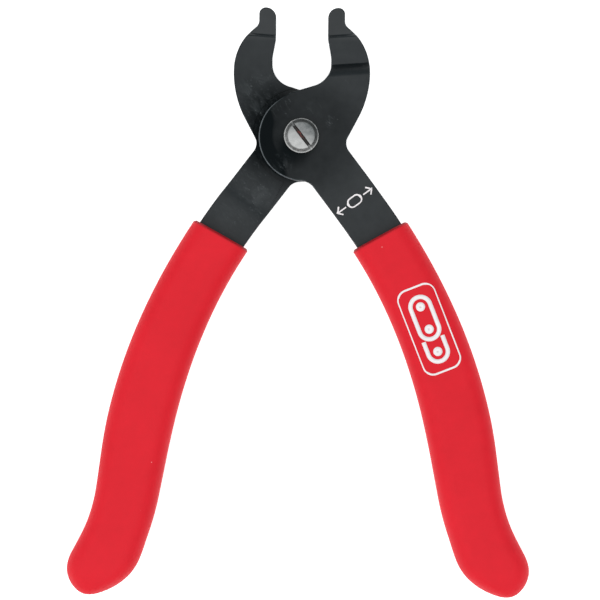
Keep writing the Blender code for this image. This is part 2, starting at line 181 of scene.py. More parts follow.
ROUND_STEPS = 192          # facets of a full circle
SMOOTH_ANGLE = 30.0        # faces that meet at less than this are shaded as one surface
SLEEVE_SMOOTH_ANGLE = 40.0
SAME_PLACE = 1e-3          # points of an outline nearer than this are one point

# Heights and sizes that the frame gives
REAR_BOTTOM = box_of("rear_lever")[0].z
FRONT_BOTTOM = box_of("front_lever")[1].z - PLATE
TIP_REACH = box_of("front_lever")[1].y
LEVEL_STEP = FRONT_BOTTOM - REAR_BOTTOM
HEAD_RADIUS = box_of("pivot_screw")[1].x
HEAD_TOP = box_of("pivot_screw")[1].z
HEAD_BOTTOM = HEAD_TOP - HEAD_HEIGHT
GRIP_BOTTOM = box_of("front_grip")[0].z
GRIP_TOP = box_of("front_grip")[1].z
MIDDLE = (GRIP_BOTTOM + GRIP_TOP) / 2
GRIP_HALF_HEIGHT = (GRIP_TOP - GRIP_BOTTOM) / 2 - SKIN_CLEARANCE
BORE_RADIUS = SHOULDER_SCREW_RADIUS + BORE_GAP
HANDLE_BEND_LENGTH = HANDLE_LENGTH - ARM_STRAIGHT - HANDLE_STRAIGHT - FOOT_BEND_LENGTH - FOOT_STRAIGHT


# ---------------------------------------------------------------- plane geometry

def along(heading):
    """Unit vector at an angle from straight down, turning outwards to +X."""
    return Vector((math.sin(math.radians(heading)), -math.cos(math.radians(heading))))


def outward(heading):
    """Unit vector square to along(heading), on the outer side of the right arm."""
    return Vector((math.cos(math.radians(heading)), math.sin(math.radians(heading))))


def handle_at(distance):
    """Point and heading on the right handle line, measured from its foot beside the pivot."""
    point = outward(ARM_HEADING) * ARM_OFFSET
    heading = ARM_HEADING
    runs = ((ARM_STRAIGHT, 0.0), (HANDLE_BEND_LENGTH, HANDLE_TURN), (HANDLE_STRAIGHT, 0.0),
            (FOOT_BEND_LENGTH, FOOT_TURN), (HANDLE_LENGTH, 0.0))
    for length, turn in runs:
        run = min(distance, length)
        bend = turn * run / length
        half = math.radians(bend / 2)
        chord = run * (math.sin(half) / half if half else 1.0)
        point = point + along(heading + bend / 2) * chord
        heading += bend
        distance -= run
        if distance <= 0:
            break
    return point, heading


def beside_handle(distance, offset):
    """Point at an offset to the outer side of the handle line."""
    point, heading = handle_at(distance)
    return point + outward(heading) * offset


def crossing(point_a, toward_a, point_b, toward_b):
    """Where two lines, each a point and a direction, cross."""
    across = point_b - point_a
    factor = across.cross(toward_b) / toward_a.cross(toward_b)
    return point_a + toward_a * factor


def arc(centre, radius, start, end):
    """Points on an arc from one angle to another, in degrees, both ends included."""
    steps = max(2, math.ceil(abs(end - start) / 360 * ROUND_STEPS))
    turns = (math.radians(start + (end - start) * i / steps) for i in range(steps + 1))
    return [centre + Vector((math.cos(t), math.sin(t))) * radius for t in turns]


def rounded(corners):
    """Points along an open line of (point, corner radius), with each corner turned into an arc."""
    line = [corners[0][0]]
    for (before, _), (corner, radius), (after, _) in zip(corners, corners[1:], corners[2:]):
        arrive = (corner - before).normalized()
        leave = (after - corner).normalized()
        turn = math.atan2(arrive.cross(leave), arrive.dot(leave))
        centre = corner - arrive * radius * math.tan(abs(turn) / 2)
        side = math.copysign(1.0, turn)
        centre += Vector((-arrive.y, arrive.x)) * radius * side
        start = math.degrees(math.atan2(arrive.y, arrive.x)) - 90 * side
        line += arc(centre, radius, start, start + math.degrees(turn))
    return line + [corners[-1][0]]


def lever_outline():
    """Outline of the right-hand lever, counter-clockwise, from the middle of its tang's end."""
    half = ARM_WIDTH / 2
    end_half = TANG_END_WIDTH / 2

    def tang_half(distance):
        share = max(0.0, (distance - GRIP_MOUTH) / (TANG_END - GRIP_MOUTH))
        return half + (end_half - half) * share

    steps = 48
    stations = [ARM_STRAIGHT + (TANG_END - TANG_CORNER - ARM_STRAIGHT) * i / steps
                for i in range(steps + 1)]
    end_turns = [math.radians(90 * i / 12) for i in range(13)]
    tang_corner = [(TANG_END - TANG_CORNER * (1 - math.sin(t)),
                    end_half - TANG_CORNER * (1 - math.cos(t))) for t in end_turns]
    outer = [beside_handle(s, tang_half(s)) for s in stations[:-1]]
    outer += [beside_handle(s, width) for s, width in tang_corner]
    inner = [beside_handle(s, -tang_half(s)) for s in stations[:-1]]
    inner += [beside_handle(s, -width) for s, width in tang_corner]

    arm_outer = beside_handle(0.0, half)
    root = Vector((JAW_HALF, JAW_ROOT_HEIGHT))
    waist = crossing(arm_outer, along(ARM_HEADING), root, along(180 - JAW_ROOT_SLOPE))
    shoulder = Vector((JAW_HALF, SHOULDER_HEIGHT))
    tip_root = crossing(shoulder, along(180 + SHOULDER_SLOPE),
                        Vector((TIP_OUTER, 0.0)), Vector((0.0, 1.0)))
    slope = math.radians(THROAT_FLOOR_SLOPE)
    floor_spot = Vector((-math.sin(slope), math.cos(slope))) * (BOSS_RADIUS + BOSS_MARGIN)
    floor_way = Vector((math.cos(slope), math.sin(slope)))
    throat_corner = crossing(floor_spot, floor_way, Vector((THROAT_HALF, 0.0)), Vector((0.0, 1.0)))
    boss_start = math.radians(BOSS_START)
    boss_spot = BOSS_CENTRE + Vector((math.cos(boss_start), math.sin(boss_start))) * BOSS_RADIUS
    boss_corner = crossing(floor_spot, floor_way, boss_spot,
                           Vector((-math.sin(boss_start), math.cos(boss_start))))
    jaw = rounded([
        (beside_handle(ARM_STRAIGHT, half), 0.0),
        (waist, WAIST_RADIUS),
        (root, JAW_ROOT_RADIUS),
        (shoulder, SHOULDER_RADIUS),
        (tip_root, TIP_ROOT_RADIUS),
        (Vector((TIP_OUTER, TIP_REACH)), TIP_OUTER_RADIUS),
        (Vector((TIP_INNER, TIP_REACH)), TIP_INNER_RADIUS),
        (Vector((TIP_INNER, THROAT_EASE_HIGH)), THROAT_EASE_RADIUS),
        (Vector((THROAT_HALF, THROAT_EASE_LOW)), THROAT_EASE_RADIUS),
        (throat_corner, THROAT_RADIUS),
        (boss_corner, BOSS_EASE_RADIUS),
        (boss_spot, 0.0),
    ])

    # the crotch fillet touches the boss from outside and the arm's inner edge
    edge = half - ARM_OFFSET + CROTCH_RADIUS
    aside = edge + BOSS_CENTRE.dot(outward(ARM_HEADING))
    reach = math.sqrt((BOSS_RADIUS + CROTCH_RADIUS) ** 2 - aside ** 2)
    reach += BOSS_CENTRE.dot(along(ARM_HEADING))
    crotch = along(ARM_HEADING) * reach - outward(ARM_HEADING) * edge
    from_boss = crotch - BOSS_CENTRE
    crotch_angle = math.degrees(math.atan2(from_boss.y, from_boss.x)) + 360
    boss = arc(BOSS_CENTRE, BOSS_RADIUS, BOSS_START, crotch_angle)
    fillet = arc(crotch, CROTCH_RADIUS, crotch_angle - 180, ARM_HEADING)
    return outer[:0:-1] + jaw + boss[1:] + fillet[1:] + inner


def without_repeats(points):
    """The points of a line, without those that lie on the one before and a last one on the first."""
    kept = [points[0]]
    for point in points[1:]:
        if (point - kept[-1]).length > SAME_PLACE:
            kept.append(point)
    if len(kept) > 2 and (kept[0] - kept[-1]).length <= SAME_PLACE:
        kept.pop()
    return kept


def inset(points, distance):
    """A closed counter-clockwise outline, moved inwards square to its own line."""
    moved = []
    count = len(points)
    for i, point in enumerate(points):
        arrive = (point - points[i - 1]).normalized()
        leave = (points[(i + 1) % count] - point).normalized()
        way = (arrive + leave).normalized()
        inward = Vector((-way.y, way.x))
        moved.append(point + inward * distance / max(0.5, way.dot(leave)))
    return moved


def ramp(value, start, length):
    """0 before start, 1 past start + length, straight between."""
    return min(1.0, max(0.0, (value - start) / length))


def eased(share):
    """Smooth version of a straight share from 0 to 1."""
    return share * share * (3 - 2 * share)


def bent(share, start, end=None):
    """Share from 0 to 1 that curves into a straight slope at its start and out of it at its end.

    Without an end there is no straight part: one curve runs into the other.
    """
    if end is None:
        end = 1 - start
    steepest = 1 / (1 - (start + end) / 2)
    if share < start:
        return steepest * share * share / start / 2
    if share > 1 - end:
        return 1 - steepest * (1 - share) ** 2 / end / 2
    return steepest * (share - start / 2)


# ---------------------------------------------------------------- mesh helpers

def mesh_object(name, mesh, smooth_angle=SMOOTH_ANGLE):
    """An object of a bmesh, merged, facing outwards and smooth between its sharp edges."""
    bmesh.ops.remove_doubles(mesh, verts=mesh.verts, dist=1e-7)
    bmesh.ops.recalc_face_normals(mesh, faces=mesh.faces)
    data = bpy.data.meshes.new(name)
    mesh.to_mesh(data)
    mesh.free()
    data.shade_smooth()
    data.set_sharp_from_angle(angle=math.radians(smooth_angle))
    obj = bpy.data.objects.new(name, data)
    bpy.context.scene.collection.objects.link(obj)
    return obj


def stacked(name, rings, smooth_angle=SMOOTH_ANGLE, closed=False):
    """Skin over rings of 3-D points in millimetres; closed joins the last ring to the first."""
    mesh = bmesh.new()
    loops = [[mesh.verts.new(Vector(p) * MM) for p in ring] for ring in rings]
    pairs = list(zip(loops, loops[1:]))
    if closed:
        pairs.append((loops[-1], loops[0]))
    else:
        mesh.faces.new(loops[0][::-1])
        mesh.faces.new(loops[-1])
    for lower, upper in pairs:
        for i in range(len(lower)):
            j = (i + 1) % len(lower)
            mesh.faces.new((lower[i], lower[j], upper[j], upper[i]))
    return mesh_object(name, mesh, smooth_angle)


def prism(name, outline, bottom, top):
    """Upright solid over an outline."""
    return stacked(name, [[(p.x, p.y, height) for p in outline] for height in (bottom, top)])


def turned(name, profile, closed=False, smooth_angle=SMOOTH_ANGLE):
    """Solid of revolution about the pivot axis, from (radius, height) points."""
    turns = [math.tau * i / ROUND_STEPS for i in range(ROUND_STEPS)]
    rings = [[(radius * math.cos(t), radius * math.sin(t), height) for t in turns]
             for radius, height in profile]
    return stacked(name, rings, smooth_angle, closed)


def round_corner(radius_at, height_at, size, start, steps=5):
    """Points of a small round edge in a turned profile, about a centre, a quarter turn from start."""
    turns = [math.radians(start + 90 * i / steps) for i in range(steps + 1)]
    return [(radius_at + size * math.cos(t), height_at + size * math.sin(t)) for t in turns]


def combine(obj, cutter, operation='DIFFERENCE'):
    """Carry out one boolean with a cutter, which is then thrown away."""
    modifier = obj.modifiers.new(cutter.name, 'BOOLEAN')
    modifier.operation = operation
    modifier.solver = 'EXACT'
    modifier.object = cutter
    settle(obj)
    bpy.data.objects.remove(cutter, do_unlink=True)


def settle(obj):
    """Turn an object and its modifiers into a plain mesh."""
    graph = bpy.context.evaluated_depsgraph_get()
    data = bpy.data.meshes.new_from_object(obj.evaluated_get(graph))
    if obj.type == 'CURVE':
        name = obj.name
        bpy.data.objects.remove(obj, do_unlink=True)
        obj = bpy.data.objects.new(name, data)
        bpy.context.scene.collection.objects.link(obj)
    else:
        obj.modifiers.clear()
        obj.data = data
    return obj


def even_normals(obj, smooth_angle=SMOOTH_ANGLE):
    """Let the large faces rule the shading, so that flats look flat beside their round edges."""
    obj.data.shade_smooth()
    obj.data.set_sharp_from_angle(angle=math.radians(smooth_angle))
    modifier = obj.modifiers.new('even', 'WEIGHTED_NORMAL')
    modifier.mode = 'FACE_AREA'
    modifier.weight = 60
    modifier.keep_sharp = True
    settle(obj)


# ---------------------------------------------------------------- shader helpers

class Field:
    """A socket of a node tree; sums on it add the Math nodes that they need."""

    def __init__(self, nodes, socket):
        self.nodes = nodes
        self.socket = socket

    def maths(self, operation, *values, clamped=False):
        settings = {'operation': operation, 'use_clamp': clamped}
        return self.nodes.add('ShaderNodeMath', settings, dict(enumerate(values)))

    def __add__(self, other):
        return self.maths('ADD', self, other)

    __radd__ = __add__

    def __sub__(self, other):
        return self.maths('SUBTRACT', self, other)

    def __rsub__(self, other):
        return self.maths('SUBTRACT', other, self)

    def __mul__(self, other):
        return self.maths('MULTIPLY', self, other)

    __rmul__ = __mul__

    def __truediv__(self, other):
        return self.maths('DIVIDE', self, other)

    def __pow__(self, power):
        return self.maths('POWER', self, power)

    def __abs__(self):
        return self.maths('ABSOLUTE', self)

    def sine(self):
        """Its sine."""
        return self.maths('SINE', self)

    def limited(self):
        """Held between 0 and 1."""
        return self.maths('ADD', self, 0.0, clamped=True)

    def rising(self, start, end):
        """0 at start and 1 at end, smooth between; start may be above end."""
        low, high = min(start, end), max(start, end)
        ends = (0.0, 1.0) if start <= end else (1.0, 0.0)
        settings = {'interpolation_type': 'SMOOTHSTEP', 'clamp': True}
        sockets = {0: self, 1: low, 2: high, 3: ends[0], 4: ends[1]}
        return self.nodes.add('ShaderNodeMapRange', settings, sockets)

    def near(self, value, reach):
        """1 at a value, fading to 0 at a reach on both sides of it."""
        return abs(self - value).rising(reach, 0.0)


class NodeTree:
    """A node tree that is built from plain calls."""

    def __init__(self, tree):
        self.tree = tree

    def add(self, kind, settings=None, sockets=None, output=0):
        """One node: its type, its settings, then the values or links of its sockets."""
        node = self.tree.nodes.new(kind)
        for name, value in (settings or {}).items():
            setattr(node, name, value)
        for key, value in (sockets or {}).items():
            self.feed(node.inputs[key], value)
        return Field(self, node.outputs[output]) if node.outputs else node

    def feed(self, socket, value):
        """Link a field to a socket, or set a plain value on it."""
        if isinstance(value, Field):
            self.tree.links.new(value.socket, socket)
        else:
            socket.default_value = value


class Finish(NodeTree):
    """A Principled material and the fields that drive it."""

    def __init__(self, name, **constants):
        self.material = bpy.data.materials.new(name)
        self.material.use_nodes = True
        super().__init__(self.material.node_tree)
        self.shader = self.tree.nodes['Principled BSDF']
        for socket, value in constants.items():
            self.shader.inputs[socket.replace('_', ' ')].default_value = value
        self.place = self.add('ShaderNodeTexCoord', output='Object')

    def drive(self, socket, value):
        """Feed one of the shader's own sockets."""
        self.feed(self.shader.inputs[socket], value)

    def noise(self, size, detail=2.0, roughness=0.5, distortion=0.0, place=None):
        """Cloudy pattern from 0 to 1, with features of a size in millimetres."""
        sockets = {'Vector': place or self.place, 'Scale': 1 / (size * MM), 'Detail': detail,
                   'Roughness': roughness, 'Distortion': distortion}
        return self.add('ShaderNodeTexNoise', None, sockets)

    def cells(self, size):
        """Distance to the nearest of scattered points, a size in millimetres apart."""
        return self.add('ShaderNodeTexVoronoi', None, {'Vector': self.place, 'Scale': 1 / (size * MM)})

    def stretched(self, turn, scale):
        """Object coordinates turned about Z in degrees and stretched."""
        sockets = {'Vector': self.place, 'Rotation': (0.0, 0.0, math.radians(turn)), 'Scale': scale}
        return self.add('ShaderNodeMapping', {'vector_type': 'TEXTURE'}, sockets)

    def parts(self):
        """X, Y and Z of the object coordinates, in millimetres."""
        split = self.add('ShaderNodeSeparateXYZ', None, {0: self.place})
        return [Field(self, socket) / MM for socket in split.socket.node.outputs]

    def attribute(self, name):
        """A value kept on the mesh."""
        return self.add('ShaderNodeAttribute', {'attribute_name': name}, output='Fac')

    def mix(self, share, first, second):
        """From one colour to another."""
        ends = [value if isinstance(value, Field) else (*value, 1.0) for value in (first, second)]
        sockets = {0: share, 6: ends[0], 7: ends[1]}
        return self.add('ShaderNodeMix', {'data_type': 'RGBA'}, sockets, output=2)

    def bump(self, height, depth):
        """Normal of a relief whose full height is a depth in millimetres."""
        return self.add('ShaderNodeBump', None, {'Distance': depth * MM, 'Height': height})


def spread(fields):
    """Distance from the Z axis, from X and Y fields."""
    x, y = fields[:2]
    return (x * x + y * y) ** 0.5


# ---------------------------------------------------------------- finishes

BLACK = (0.0016, 0.0034, 0.0042)
# lighter end of the black, reached by the painted reflection away from the pivot and by random clouds
BLACK_PALE = (0.0062, 0.0105, 0.0128)
# bare steel of worn edges, also the colour of the painted highlight on the boss
BARE_EDGE_AND_HIGHLIGHT = (0.20, 0.225, 0.24)
SCUFF = (0.10, 0.115, 0.12)


def black_steel(name, scuffs, shade_spot, arc_highlight, joggle_shade):
    """Black oxide on stamped steel: satin, with painted shade round the pivot, worn and scuffed.

    Each of the scuffs is (x, y, reach, amount). The shade spot is where painted shade lies
    thickest, as (x, y, reach). The arc highlight is how strongly a painted highlight brightens
    the left edge of the boss, and joggle shade is 1 for the lever whose jaw is stepped, to paint shade on
    its step.
    """
    finish = Finish(name, Specular_IOR_Level=0.04, Coat_Roughness=0.36)
    x, y = finish.parts()[:2]
    radius = spread((x, y))
    left = x * -1.0
    cloud = finish.noise(14.0, 3.0, 0.55)
    mottle = finish.noise(2.6, 4.0, 0.6)
    smear = finish.noise(4.2, 5.0, 0.62, 0.8, finish.stretched(52.0, (1.0, 1.9, 1.0)))
    grain = finish.noise(0.32, 2.0, 0.6)
    # painted reflection: the plate is made lighter away from the pivot and darker round it
    painted_outer_light = radius.rising(11.0, 24.0)
    tip = y.rising(29.5, 31.5)

    # painted shade: the left side of the boss stays darkest, in a curved band inside its edge
    boss_side = left - y * 0.25
    crescent_shade = radius.rising(8.2, 10.6) * radius.rising(14.2, 13.2) * boss_side.rising(6.5, 9.5)
    # painted shade on the slope of the joggle step, for the lever whose jaw is stepped
    slope = math.radians(CREASE_SLOPE)
    up_jaw = y * math.cos(slope) - x * math.sin(slope)
    end = JOGGLE_START + JOGGLE_LENGTH
    step = up_jaw.rising(JOGGLE_START + 0.9, end - 0.9) * up_jaw.rising(end + 0.1, end - 0.25) * joggle_shade
    # painted shade round a given spot on each lever
    shade_x, shade_y, shade_reach = shade_spot
    spot_shade = spread((x - shade_x, y - shade_y)).rising(shade_reach, shade_reach * 0.3)
    # painted shade on the left of the waist, near the pivot
    waist = radius.rising(22.0, 12.0) * left.rising(-2.0, 9.0)
    shade = waist * 0.35 + crescent_shade * 1.3 + spot_shade * 0.7 + step
    tone = 0.30 + 0.50 * painted_outer_light + 0.5 * (cloud - 0.5) + 0.35 * (mottle - 0.5) - 0.5 * shade
    colour = finish.mix(tone.limited(), BLACK, BLACK_PALE)

    streak = finish.noise(1.1, 5.0, 0.7, 0.6, finish.stretched(38.0, (1.0, 3.0, 1.0)))
    fleck = finish.noise(0.55, 2.0, 0.5).rising(0.61, 0.68)
    places = 0.0
    for spot_x, spot_y, reach, amount in scuffs:
        gap = spread((x - spot_x, y - spot_y))
        places = gap.rising(reach, reach * 0.25) * amount + places
    scratch = streak.rising(0.54, 0.74) * 0.40 + fleck * streak.rising(0.46, 0.64) * 0.6
    scuffed = (places * (scratch + smear.rising(0.50, 0.68) * 0.20)).limited()
    colour = finish.mix(scuffed, colour, SCUFF)

    edge = finish.attribute('edge')
    # painted highlight: a bright arc on the left edge of the boss, added on top of the real worn edges
    boss_edge = spread((x - BOSS_CENTRE.x, y - BOSS_CENTRE.y)).near(BOSS_RADIUS, 0.7)
    painted_arc_highlight = boss_edge * boss_side.rising(1.0, 9.0) * arc_highlight
    wear_and_highlight = 0.03 + 0.18 * mottle.rising(0.42, 0.66) + painted_arc_highlight * (0.5 + 0.5 * mottle)
    edge_wear_and_highlight = (edge * wear_and_highlight).limited()
    finish.drive('Base Color', finish.mix(edge_wear_and_highlight, colour, BARE_EDGE_AND_HIGHLIGHT))
    finish.drive('Metallic', (edge_wear_and_highlight * 0.45 + scuffed * 0.2).limited())
    roughness = 0.46 + 0.10 * (grain - 0.5) + 0.12 * (mottle - 0.5) - 0.12 * edge_wear_and_highlight
    finish.drive('Roughness', roughness.limited())
    coat = 0.27 + 0.22 * painted_outer_light + 0.18 * tip + 0.2 * (cloud - 0.5) + 0.16 * (mottle - 0.5) - 0.3 * shade
    finish.drive('Coat Weight', (coat + 0.35 * edge_wear_and_highlight - 0.22 * edge).limited())
    finish.drive('Normal', finish.bump(grain * 0.6 + mottle * 0.4 - scuffed * 0.5, 0.012))
    return finish.material


def red_sleeve():
    """Soft matt sleeve: a fine moulded grain, faint clouds in the red and a little dust."""
    finish = Finish('red_soft_sleeve', Specular_IOR_Level=0.2)
    cloud = finish.noise(22.0, 3.0, 0.55)
    mottle = finish.noise(3.2, 3.0, 0.6)
    grain = finish.noise(0.42, 3.0, 0.65)
    pits = finish.cells(0.9)
    dust = finish.cells(7.5).rising(0.032, 0.014) * finish.noise(5.0).rising(0.5, 0.6)
    tone = (0.5 + 0.9 * (cloud - 0.5) + 0.55 * (mottle - 0.5) + 0.35 * (grain - 0.5)).limited()
    colour = finish.mix(tone, (0.565, 0.0048, 0.0138), (0.692, 0.0100, 0.0222))
    colour = finish.mix(dust * 0.5, colour, (0.85, 0.45, 0.45))

    # painted shade at the mouth, where the steel goes in: the mouth's line is the same on both sleeves
    x, y = finish.parts()[:2]
    point, heading = handle_at(GRIP_MOUTH)
    inward = along(heading) - outward(heading) * math.tan(math.radians(GRIP_MOUTH_SKEW))
    depth = (abs(x) - point.x) * inward.x + (y - point.y) * inward.y
    mouth_shade = depth.rising(1.25, 0.15) * (0.75 + 0.5 * (mottle - 0.5))
    colour = finish.mix(mouth_shade.limited(), colour, (0.16, 0.002, 0.005))
    finish.drive('Base Color', colour)
    finish.drive('Roughness', (0.60 + 0.16 * (grain - 0.5) + 0.08 * (mottle - 0.5)).limited())
    finish.drive('Normal', finish.bump(grain * 0.6 + pits * 0.25 + mottle * 0.15, 0.05))
    return finish.material


def head_finish():
    """Plated screw head: face painted lighter to one side as painted light, a mottled bevel, a dark slot.
    """
    finish = Finish('plated_screw_head')
    x, y, z = finish.parts()
    radius = spread((x, y))
    turn = math.radians(SLOT_HEADING)
    across = abs(x * -math.sin(turn) + y * math.cos(turn))
    lengthwise = x * math.cos(turn) + y * math.sin(turn)
    cloud = finish.noise(2.4, 3.0, 0.6)
    mottle = finish.noise(0.45, 4.0, 0.65)
    blotch = finish.noise(0.9, 4.0, 0.7)
    rings = (radius * 38.0).sine() * 0.5 + 0.5
    bevel = radius.rising(HEAD_FLAT_RADIUS - 0.25, HEAD_FLAT_RADIUS + 0.15)
    bevel = bevel * radius.rising(HEAD_RADIUS - HEAD_LIP * 0.6, HEAD_RADIUS - HEAD_LIP * 1.0)
    # painted light: the face is made lighter towards the lower left and darker towards the upper right
    painted_lit_side = (x * -0.55 - y * 0.85).rising(-4.6, 3.6)
    tone = (0.05 + 0.75 * painted_lit_side + 0.7 * (cloud - 0.5) + 0.4 * (mottle - 0.5)).limited()
    colour = finish.mix(tone, (0.078, 0.086, 0.088), (0.385, 0.39, 0.385))
    lip = radius.rising(HEAD_RADIUS - HEAD_LIP, HEAD_RADIUS - HEAD_LIP * 0.6) * blotch.rising(0.36, 0.52)
    colour = finish.mix(lip * 0.8, colour, (0.27, 0.275, 0.27))
    dull = (bevel * (0.55 + 1.8 * (blotch - 0.5) + 0.8 * (mottle - 0.5) - 0.15 * painted_lit_side)).limited()
    colour = finish.mix(dull, colour, (0.065, 0.068, 0.066))
    # inside the slot the colour is made near black, dull and not metallic, with a red patch along it
    inside = across.rising(SLOT_WIDTH * 0.56, SLOT_WIDTH * 0.46) * z.rising(HEAD_TOP - 0.12, HEAD_TOP - 0.5)
    ends = abs(lengthwise).rising(4.4, 3.4)
    slot_dark = (inside * ends).limited()
    red_patch = lengthwise.near(-0.6, 2.6) * finish.noise(0.7, 4.0, 0.7).rising(0.42, 0.58)
    filling = finish.mix(red_patch, (0.012, 0.011, 0.010), (0.15, 0.024, 0.018))
    colour = finish.mix(slot_dark, colour, filling)
    finish.drive('Base Color', colour)
    finish.drive('Metallic', (1.0 - 0.9 * slot_dark).limited())
    finish.drive('Roughness', (0.34 + 0.26 * bevel + 0.35 * (mottle - 0.5) + 0.25 * slot_dark).limited())
    finish.drive('Normal', finish.bump(mottle * (0.35 + bevel) + rings * 0.10 * (1 - bevel), 0.03))
    return finish.material


def plated_steel(name, turned_pitch):
    """Zinc plate on small hardware, with fine rings from the lathe on its faces."""
    finish = Finish(name)
    cloud = finish.noise(1.8, 3.0, 0.6)
    mottle = finish.noise(0.35, 3.0, 0.6)
    rings = (spread(finish.parts()) * (math.tau / turned_pitch)).sine()
    tone = (0.5 + 1.0 * (cloud - 0.5) + 0.4 * (mottle - 0.5)).limited()
    finish.drive('Base Color', finish.mix(tone, (0.40, 0.42, 0.43), (0.66, 0.67, 0.66)))
    finish.drive('Metallic', (0.94 + 0.1 * (cloud - 0.5)).limited())
    finish.drive('Roughness', (0.32 + 0.25 * (mottle - 0.5)).limited())
    finish.drive('Normal', finish.bump(rings * 0.3 + mottle * 0.5, 0.012))
    return finish.material


def bronze():
    """Oiled bronze of the ring that the front lever turns on."""
    finish = Finish('oiled_bronze')
    cloud = finish.noise(3.0, 3.0, 0.6)
    rings = (spread(finish.parts()) * 26.0).sine()
    finish.drive('Base Color', finish.mix(cloud.rising(0.35, 0.65), (0.24, 0.14, 0.06), (0.52, 0.34, 0.15)))
    finish.drive('Metallic', (0.92 + 0.1 * (cloud - 0.5)).limited())
    finish.drive('Roughness', (0.36 + 0.2 * (cloud - 0.5)).limited())
    finish.drive('Normal', finish.bump(rings, 0.006))
    return finish.material


def white_print(name):
    """Pad-printed white ink, thin in places."""
    finish = Finish(name, Specular_IOR_Level=0.4)
    thin = finish.noise(0.5, 3.0, 0.6).rising(0.58, 0.80)
    cloud = finish.noise(4.0)
    colour = finish.mix(cloud, (0.74, 0.70, 0.71), (0.90, 0.88, 0.88))
    finish.drive('Base Color', finish.mix(thin * 0.35, colour, (0.55, 0.40, 0.41)))
    finish.drive('Roughness', (0.52 + 0.1 * (cloud - 0.5)).limited())
    return finish.material


def pale_floor():
    """Plain pale table top."""
    finish = Finish('pale_floor', Specular_IOR_Level=0.1, Roughness=0.9, Emission_Strength=0.6,
                    Emission_Color=(1.0, 1.0, 1.0, 1.0))
    cloud = finish.noise(180.0, 2.0, 0.5)
    finish.drive('Base Color', finish.mix(cloud, (0.965, 0.970, 0.967), (0.985, 0.988, 0.985)))
    return finish.material


def put_on(obj, body, node, material):
    """Give a finished piece its material and its place in the frame."""
    obj.data.materials.clear()
    obj.data.materials.append(material)
    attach(obj, body)
    if node:
        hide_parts(node)
    return obj


# ---------------------------------------------------------------- levers

def stamped_blank(name, outline, bottom):
    """Plate over an outline, its top edge rolled over and its lower edge lightly broken."""
    levels = []
    for i in range(BREAK_STEPS + 1):
        turn = math.radians(90 * i / BREAK_STEPS)
        levels.append((BREAK_RADIUS * (1 - math.sin(turn)), BREAK_RADIUS * (1 - math.cos(turn))))
    for i in range(ROLL_STEPS + 1):
        turn = math.radians(90 * i / ROLL_STEPS)
        levels.append((ROLL_WIDTH * (1 - math.cos(turn)), PLATE - ROLL_DEPTH * (1 - math.sin(turn))))
    rings = [[(p.x, p.y, bottom + height) for p in inset(outline, distance)]
             for distance, height in levels]
    return stacked(name, rings)


def bend_ways(side):
    """Directions along which the jaw and the arm are bent."""
    slope = math.radians(CREASE_SLOPE)
    jaw_way = Vector((-side * math.sin(slope), math.cos(slope)))
    arm_way = along(ARM_HEADING)
    arm_way.x *= side
    return jaw_way, arm_way


def arm_lift(spot, side, arm_rise):
    """How far the arm is set up or down at a point."""
    return arm_rise * bent(ramp(spot.dot(bend_ways(side)[1]), SET_START, SET_LENGTH), SET_TURN)


def press(obj, side, bottom, jaw_drop, arm_rise):
    """Step the jaw, set the arm and thin the tip of a flat plate, with smooth bends."""
    jaw_way, arm_way = bend_ways(side)
    bends = [(jaw_way, TIP_CREASE, TIP_CREASE_LENGTH), (arm_way, SET_START, SET_LENGTH)]
    if jaw_drop:
        bends.append((jaw_way, JOGGLE_START, JOGGLE_LENGTH))
    mesh = bmesh.new()
    mesh.from_mesh(obj.data)
    for way, start, length in bends:
        for i in range(BEND_STEPS + 1):
            everything = mesh.verts[:] + mesh.edges[:] + mesh.faces[:]
            at = way * (start + length * i / BEND_STEPS) * MM
            bmesh.ops.bisect_plane(mesh, geom=everything, dist=1e-7,
                                   plane_co=at.to_3d(), plane_no=way.to_3d())
    for vert in mesh.verts:
        spot = vert.co.to_2d() / MM
        rise = arm_lift(spot, side, arm_rise)
        reach = spot.dot(jaw_way)
        rise -= jaw_drop * bent(ramp(reach, JOGGLE_START, JOGGLE_LENGTH), JOGGLE_EASE, JOGGLE_NIP)
        share = (vert.co.z / MM - bottom) / PLATE
        thinning = TIP_THINNING * bent(ramp(reach, TIP_CREASE, TIP_CREASE_LENGTH), TIP_CREASE_TURN)
        rise -= thinning * share
        vert.co.z += rise * MM
    mesh.to_mesh(obj.data)
    mesh.free()


def mark_edges(obj, outline, bottom):
    """Keep on each point how near it lies to an edge of the flat plate."""
    points = np.array([v.co for v in obj.data.vertices]) / MM
    line = np.array([(p.x, p.y) for p in outline])
    run = np.roll(line, -1, axis=0) - line
    square = (run ** 2).sum(axis=1)
    nearest = np.full(len(points), np.inf)
    for start, way, size in zip(line, run, square):
        gap = points[:, :2] - start
        share = np.clip(gap @ way / size, 0.0, 1.0)
        nearest = np.minimum(nearest, np.hypot(*(gap - share[:, None] * way).T))
    depth = np.minimum(np.abs(points[:, 2] - bottom), np.abs(bottom + PLATE - points[:, 2]))
    value = np.clip(1.0 - np.hypot(nearest, depth) / EDGE_WEAR_REACH, 0.0, 1.0)
    layer = obj.data.attributes.new('edge', 'FLOAT', 'POINT')
    layer.data.foreach_set('value', np.minimum(1.0, value * 1.6).astype(np.float32))


